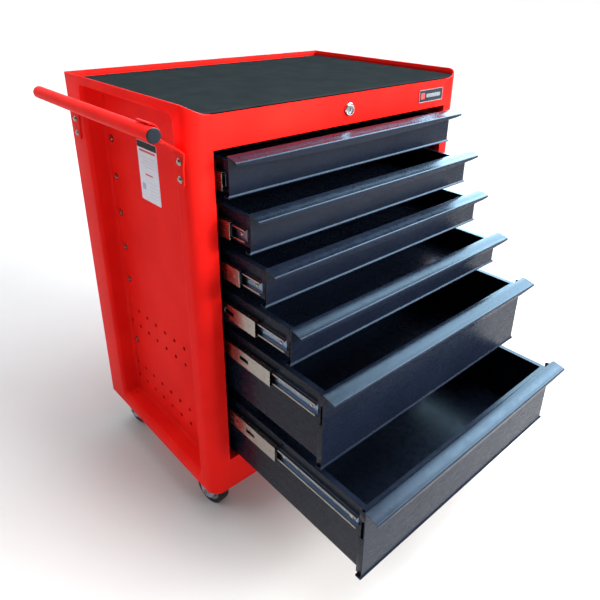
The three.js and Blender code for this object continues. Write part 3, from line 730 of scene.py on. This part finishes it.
def drawer_front(n):
    """The folded front: hem, face and the pull lip, whose return is deeper at mid width."""
    top, low, pull = FRONT_TOP[n], FRONT_LOW[n], PULLED_OUT[n]
    # the sheet's outer side, which is the lip's lower side: y, z and half width of each fold line,
    # from the hem's end up the face and out to the lip's nose
    bend = 1.5
    under = top - SHEET
    rows = [(9.5, low + 4, FRONT_HALF), (9.5, low + 1.2, FRONT_HALF), (8.6, low + 0.2, FRONT_HALF),
            (7.5, low, FRONT_HALF), (0.2, low, FRONT_HALF), (-1.4, low, FRONT_HALF),
            (-2.0, low + 0.5, FRONT_HALF), (-2.0, low + 2.0, FRONT_HALF),
            (-1.2, low + 3.0, FRONT_HALF - 0.4), (0.0, low + 4.4, FACE_HALF + 1.2),
            (0.0, low + 6.5, FACE_HALF), (0.0, top - 14, FACE_HALF), (0.0, top - 8, FACE_HALF + 0.3)]
    turn = arc((-bend, under - bend), bend, 0, 90, 4)
    rows += [(y, z, FACE_HALF + 1 + i * 0.75) for i, (y, z) in enumerate(turn)]
    rows += [(-9, under - 1.0, FRONT_HALF), (-17, under - 2.6, FRONT_HALF)]
    nose = (-27 + 2.8, top - 5 - 2.4)
    rows += [(y, z, FRONT_HALF) for y, z in arc(nose, 2.8 - SHEET, 76, 188, 6)]
    columns = 48
    shape = Shape()

    def swell(i):
        return math.sin(math.pi * i / columns) ** 0.62

    grid = []
    for y, z, half in rows:
        grid.append([(-half + 2 * half * i / columns, y - pull, z) for i in range(columns + 1)])
    nose_y, nose_z = rows[-1][0], rows[-1][1]
    for share in (0.35, 0.7, 1.0):
        row = []
        for i in range(columns + 1):
            drop = (1.4 + 9.4 * swell(i)) * share
            row.append((-FRONT_HALF + 2 * FRONT_HALF * i / columns, nose_y + 0.18 * drop - pull,
                        nose_z - drop))
        grid.append(row)
    shape.strip(grid)
    piece(f"drawer_front_{n}_folded", shape, "charcoal_paint", f"drawer_{n}", thickness=SHEET,
          outward=(0, -1, 0), replaces=[f"drawer_front_{n}"])
    for side, name in ((-1, "left"), (1, "right")):
        flange = Shape()
        slide = SLIDE[n]
        clear = 18.6  # the flange is notched round the slide
        outline = [(1.0, low + 4.5), (12.5, low + 4.5), (12.5, slide - clear), (2.6, slide - clear),
                   (2.6, slide + clear), (12.5, slide + clear), (12.5, top - 9), (1.0, top - 6)]
        if slide - clear < low + 5.5:  # no room for a flange under the slide
            outline = [(1.0, low + 4.5), (2.6, low + 4.5)] + outline[4:]
        flange.prism([(y - pull, z) for y, z in outline], "x", side * (FACE_HALF - SHEET),
                     side * FACE_HALF)
        piece(f"drawer_flange_{name}_{n}", flange, "charcoal_paint", f"drawer_{n}", bevel=0.4)


def drawer_floor(n):
    """A stamped bead runs round the floor of the drawer."""
    pull = PULLED_OUT[n]
    z = FRONT_LOW[n] + 4 + SHEET
    shape = Shape()
    inset_x, front, back = 62, 60, 375
    profile = [(0, -0.2), (1.6, 0.4), (3.4, 1.3), (5, 1.6), (6.6, 1.3), (8.4, 0.4), (10, -0.2)]
    rings = []
    for grow, rise in profile:
        low = (-BOX_HALF + inset_x - grow, front - grow - pull)
        high = (BOX_HALF - inset_x + grow, back + grow - pull)
        rings.append([(x, y, z + rise) for x, y in rounded_rectangle(low, high, 34 + grow, 10)])
    rings.append(rings[0])
    shape.strip(rings, closed=True)
    piece(f"drawer_bead_{n}", shape, "charcoal_paint", f"drawer_{n}")


def drawer_rivets(n):
    """Screws hold the drawer's slide members; their ends show inside."""
    pull, z = PULLED_OUT[n], SLIDE[n]
    for side, name in ((-1, "left"), (1, "right")):
        shape = Shape()
        for y in (34, 200, 380):
            x = side * (BOX_HALF + SHEET)
            dome(shape, (x, y - pull, z), (side, 0, 0), 3.4, 1.8, 16)
        piece(f"slide_screws_{name}_{n}", shape, "zinc", f"drawer_{n}")
        inner = Shape()
        for y in (34, 380):
            dome(inner, (side * (BOX_HALF - SHEET), y - pull, z), (-side, 0, 0), 2.6, 1.4, 14)
        piece(f"slide_rivets_{name}_{n}", inner, "zinc", f"drawer_{n}")


def inner_rails(n):
    """Rolled edges of the drawer's slide members, where the balls run."""
    pull, z = PULLED_OUT[n], SLIDE[n]
    for side, name in ((-1, "left"), (1, "right")):
        shape = Shape()
        for level in (-1, 1):
            x = side * (BOX_HALF + 5.6)
            centre = z + level * 10.0
            shape.rod((x, SLIDE_ENDS[0] - pull, centre), (x, SLIDE_ENDS[1] - pull, centre), 1.55, 14)
        piece(f"slide_inner_rails_{name}_{n}", shape, "zinc", f"drawer_{n}")


def middle_details(n):
    """Plastic end piece, ball cage and rivets on the middle slide members."""
    z = SLIDE[n]
    for side, name in ((-1, "left"), (1, "right")):
        low = span(f"slide_middle_{name}_{n}")[0]
        body = f"slide_middle_{n}"
        outer = BOX_HALF + 11.1
        width = (side * (outer - 1.4), side * (BOX_HALF + 7.2))
        # with the drawer closed the end piece stays behind the fold of its front
        end = max(low.y - 3.5, CLOSED_STOP - PULLED_OUT[n] / 2)
        stop = Shape()
        stop.block(width, (end, end + 12.5), (z - 9, z + 9))
        stop.block(width, (end + 2.5, low.y + 22), (z + 6, z + 13.6))
        piece(f"slide_end_{name}_{n}", stop, "black_plastic", body, bevel=0.8)
        balls = Shape()
        for level in (-1, 1):
            for i in range(9):
                centre = Vector((side * (BOX_HALF + 5.0), low.y + 26 + BALL_STEP * i,
                                 z + level * BALL_LEVEL))
                turns = [math.pi * k / 6 for k in range(7)]
                profile = [(BALL_RADIUS * math.sin(t) + 0.01, -BALL_RADIUS * math.cos(t)) for t in turns]
                balls.lathe(profile, centre, (0, 1, 0), 10)
        piece(f"slide_balls_{name}_{n}", balls, "chrome", body)
        rivets = Shape()
        for y in (14, 120, 150, 280):
            centre = (side * outer, low.y + y, z)
            rivets.lathe([(2.6, 0), (2.6, 0.15), (1.9, 0.3)], centre, (side, 0, 0), 16)
        piece(f"slide_rivets_middle_{name}_{n}", rivets, "zinc", body)


# ---------------------------------------------------------------- casters


def caster_places():
    joints = {j["name"]: j for j in frame["joints"]}
    for end in ("front_left", "front_right", "rear_left", "rear_right"):
        swivel = joints[f"swivel_{end}"]
        spin = joints[f"wheel_spin_{end}"]
        brake = joints.get(f"brake_{end}")
        yield end, local(swivel["pos_m"]), local(spin["pos_m"]), Vector(spin["axis"]), brake


def wheel(end, centre, axle):
    """A moulded rubber tyre on a grey hub with a round boss and a ring of ribs."""
    tyre = Shape()
    half = TYRE_HALF
    profile = [(26.5, -half + 2.6), (28.5, -half + 0.5), (30.5, -half)]
    profile += arc((TYRE_RADIUS - TYRE_EDGE, -half + TYRE_EDGE), TYRE_EDGE, -90, 0, 6)
    mirror = [(r, -h) for r, h in reversed(profile)]
    ring = profile + mirror
    rows = []
    direction = axle.normalized()
    first = Vector((0, 0, 1))
    second = direction.cross(first)
    for r, h in ring + [ring[0]]:
        rows.append([tuple(centre + direction * h + (first * math.cos(a) + second * math.sin(a)) * r)
                     for a in [2 * math.pi * i / 64 for i in range(64)]])
    tyre.strip(rows, closed=True)
    piece(f"tyre_{end}", tyre, "tyre_rubber", f"caster_wheel_{end}",
          replaces=[f"caster_wheel_{end}"])
    hub = Shape()
    hub.lathe([(4.4, -half - 1.3), (9.5, -half - 1.3), (10.5, -half - 0.6), (11.5, -half + 4),
               (22, -half + 5), (24.5, -half + 2.4), (27.2, -half + 2.2), (27.2, half - 2.2),
               (24.5, half - 2.4), (22, half - 5), (11.5, half - 4), (10.5, half + 0.6),
               (9.5, half + 1.3), (4.4, half + 1.3)], centre, axle, 48)
    for side in (-1, 1):
        for i in range(6):
            angle = 2 * math.pi * i / 6
            arm = first * math.cos(angle) + second * math.sin(angle)
            across = direction.cross(arm)
            base = centre + direction * side * (half - 5.2)
            corners = [base + arm * r + across * w for r, w in ((10.5, -1.2), (23.5, -1.2), (23.5, 1.2),
                                                                 (10.5, 1.2))]
            lifted = [c + direction * side * 2.6 for c in corners]
            hub.loft([[tuple(c) for c in corners], [tuple(c) for c in lifted]])
    piece(f"wheel_hub_{end}", hub, "wheel_plastic", f"caster_wheel_{end}")


def caster_plate_screws(end, pivot):
    shape = Shape()
    for dx, dy in PLATE_HOLES:
        centre = (pivot.x + dx, pivot.y + dy, -GAP - 3)
        shape.lathe([(5.2, 0), (5.2, 1), (4.6, 1.2)], centre, (0, 0, -1), 20)
        shape.lathe([(3.9, 1.2), (3.9, 4.2), (3.4, 4.6)], centre, (0, 0, -1), 6)
    piece(f"caster_bolts_{end}", shape, "zinc", "cabinet")


def caster_details(end, pivot, centre, axle):
    """Dust ring of the race and the axle's nut and bolt head."""
    ring = Shape()
    z = FLOOR + RACE_HEIGHT
    ring.lathe([(21.4, 0.2), (22.6, 1.2), (23.0, 3.2), (22.0, 5.2), (20.8, 6.4)],
               (pivot.x, pivot.y, z), (0, 0, 1), 40)
    piece(f"caster_race_{end}", ring, "zinc", "cabinet")
    nuts = Shape()
    for side in (-1, 1):
        face = centre + axle * side * FORK_HALF
        nuts.lathe([(8.4, 0.1), (8.4, 0.9), (8.0, 1.2)], face, axle * side, 28)
        nuts.lathe([(5.6, 1.2), (6.4, 1.6), (6.4, 5.2), (5.4, 5.8)], face, axle * side, 6)
        nuts.lathe([(3.6, 5.8), (3.6, 6.6), (3.1, 7.0)], face, axle * side, 20)
    piece(f"caster_nuts_{end}", nuts, "zinc", f"caster_swivel_{end}")


# ---------------------------------------------------------------- stage


def make_camera():
    """The view of the photograph, in the row's frame."""
    camera = bpy.data.cameras.new("camera")
    camera.sensor_width = 36
    camera.lens = 34.66
    camera.shift_x = -0.0082
    camera.shift_y = -0.086
    thing = bpy.data.objects.new("camera", camera)
    bpy.context.scene.collection.objects.link(thing)
    yaw, pitch, roll = math.radians(42.2), math.radians(24.75), 0.014
    forward = Vector((math.sin(yaw) * math.cos(pitch), math.cos(yaw) * math.cos(pitch), -math.sin(pitch)))
    right = Vector((math.cos(yaw), -math.sin(yaw), 0))
    up = right.cross(forward)
    tilted_right = right * math.cos(roll) + up * math.sin(roll)
    tilted_up = up * math.cos(roll) - right * math.sin(roll)
    axes = Matrix((tilted_right, tilted_up, -forward)).transposed()
    thing.matrix_world = Matrix.Translation(place(*CAMERA_AT)) @ axes.to_4x4()
    bpy.context.scene.camera = thing


def make_stage():
    bpy.context.scene.view_settings.view_transform = "Standard"
    tree, shader = new_material("floor", (0.6, 0.6, 0.6), 0.8)
    shade = ramp(tree, noise(tree, 1.5, 3), [(0.3, (0.59, 0.59, 0.59)), (0.7, (0.62, 0.62, 0.62))])
    tree.links.new(shade, shader.inputs["Base Color"])
    shader.inputs["Specular IOR Level"].default_value = 0.1
    # behind the object the floor fades into the white background
    coordinates = tree.nodes.new("ShaderNodeTexCoord")
    away = tree.nodes.new("ShaderNodeVectorMath")
    away.operation = "DOT_PRODUCT"
    away.inputs[1].default_value = (0.55, 0.75, 0)
    tree.links.new(coordinates.outputs["Object"], away.inputs[0])
    glow = spread(tree, away.outputs["Value"], 0, 0.6, (0.3, 3))
    tree.links.new(glow, shader.inputs["Emission Strength"])
    shader.inputs["Emission Color"].default_value = (1, 1, 1, 1)
    mesh = bpy.data.meshes.new("floor")
    size = FLOOR_HALF
    mesh.from_pydata([(-size, -size, 0), (size, -size, 0), (size, size, 0), (-size, size, 0)], [],
                     [(0, 1, 2, 3)])
    floor = bpy.data.objects.new("floor", mesh)
    bpy.context.scene.collection.objects.link(floor)
    floor.data.materials.append(MATERIALS["floor"])
    make_world()
    # name, place, width, height, power, colour, and whether only the glossy surfaces see it
    lights = [
        ("key", (1.5, -3.1, 1.9), 2.2, 1.8, 350, (1, 0.98, 0.95), False),
        ("top", (0.5, -0.7, 3.1), 2.0, 2.0, 100, (0.93, 0.97, 1), False),
        ("left", (-2.3, 0.3, 2.7), 0.8, 0.8, 14, (1, 1, 1), False),
        ("sky", (1.95, 0.95, 1.85), 3.4, 2.4, 520, (0.45, 0.76, 1), True),
        ("sky_front", (1.9, -1.1, 2.2), 2.2, 2.0, 420, (0.50, 0.76, 1), True),
    ]
    middle = Vector((0, 0, LIT_HEIGHT))
    for name, where, width, height, power, color, glossy_only in lights:
        data = bpy.data.lights.new(name, "AREA")
        data.shape = "RECTANGLE"
        data.size = width
        data.size_y = height
        data.energy = power
        data.color = color
        light = bpy.data.objects.new(name, data)
        bpy.context.scene.collection.objects.link(light)
        light.location = where
        light.rotation_euler = (middle - Vector(where)).to_track_quat("-Z", "Y").to_euler()
        light.visible_diffuse = not glossy_only
        light.visible_glossy = glossy_only or name == "top"
        light.visible_camera = False


def make_world():
    """A studio that is bright behind the object and dim on the side of the camera."""
    world = bpy.data.worlds.new("world")
    bpy.context.scene.world = world
    world.use_nodes = True
    tree = world.node_tree
    coordinates = tree.nodes.new("ShaderNodeTexCoord")
    facing = tree.nodes.new("ShaderNodeVectorMath")
    facing.operation = "DOT_PRODUCT"
    facing.inputs[1].default_value = (0.55, 0.75, 0.36)
    tree.links.new(coordinates.outputs["Generated"], facing.inputs[0])
    shade = ramp(tree, spread(tree, facing.outputs["Value"], 0, 1, (-1, 1)),
                 [(0.0, (0.04, 0.04, 0.05)), (0.42, (0.12, 0.13, 0.15)), (0.62, (1.0, 1.0, 1.0))])
    tree.links.new(shade, tree.nodes["Background"].inputs["Color"])


# ---------------------------------------------------------------- assembly

make_camera()
make_materials()
make_stage()

for part in ("back_panel", "base_pan", "top_deck"):
    soften(part, "red_paint", 0.5)
soften("top_mat", "mat_rubber", 1.0)
for part in ("slide_rack_left", "slide_rack_right", "lock_bar"):
    soften(part, "zinc", 0.4)
side_panel(-1, "side_panel_left")
side_panel(1, "side_panel_right")
opening_returns()
front_header()
recess_bolts()
handle()
bracket_screws()
lock()
badge()
label()

for n in DRAWERS:
    # the slide members on the box's sides take the darker zinc, which is painted shade in their channel
    box = soften(f"drawer_box_{n}", "charcoal_paint", 0.5, "zinc_painted_shade")
    limit = (BOX_HALF + 0.05) * MM
    for polygon in box.data.polygons:
        if abs(polygon.center.x - ORIGIN.x) > limit:
            polygon.material_index = 1
    drawer_front(n)
    drawer_floor(n)
    drawer_rivets(n)
    inner_rails(n)
    for side in ("left", "right"):
        soften(f"slide_middle_{side}_{n}", "zinc", 0.5)
    middle_details(n)

for end, pivot, centre, axle, brake in caster_places():
    soften(f"caster_plate_{end}", "zinc", 0.5)
    soften(f"caster_fork_{end}", "fork_zinc", 0.6)
    wheel(end, centre, axle)
    caster_plate_screws(end, pivot)
    caster_details(end, pivot, centre, axle)
    if brake:
        soften(f"brake_pedal_{end}", "zinc", 0.5)
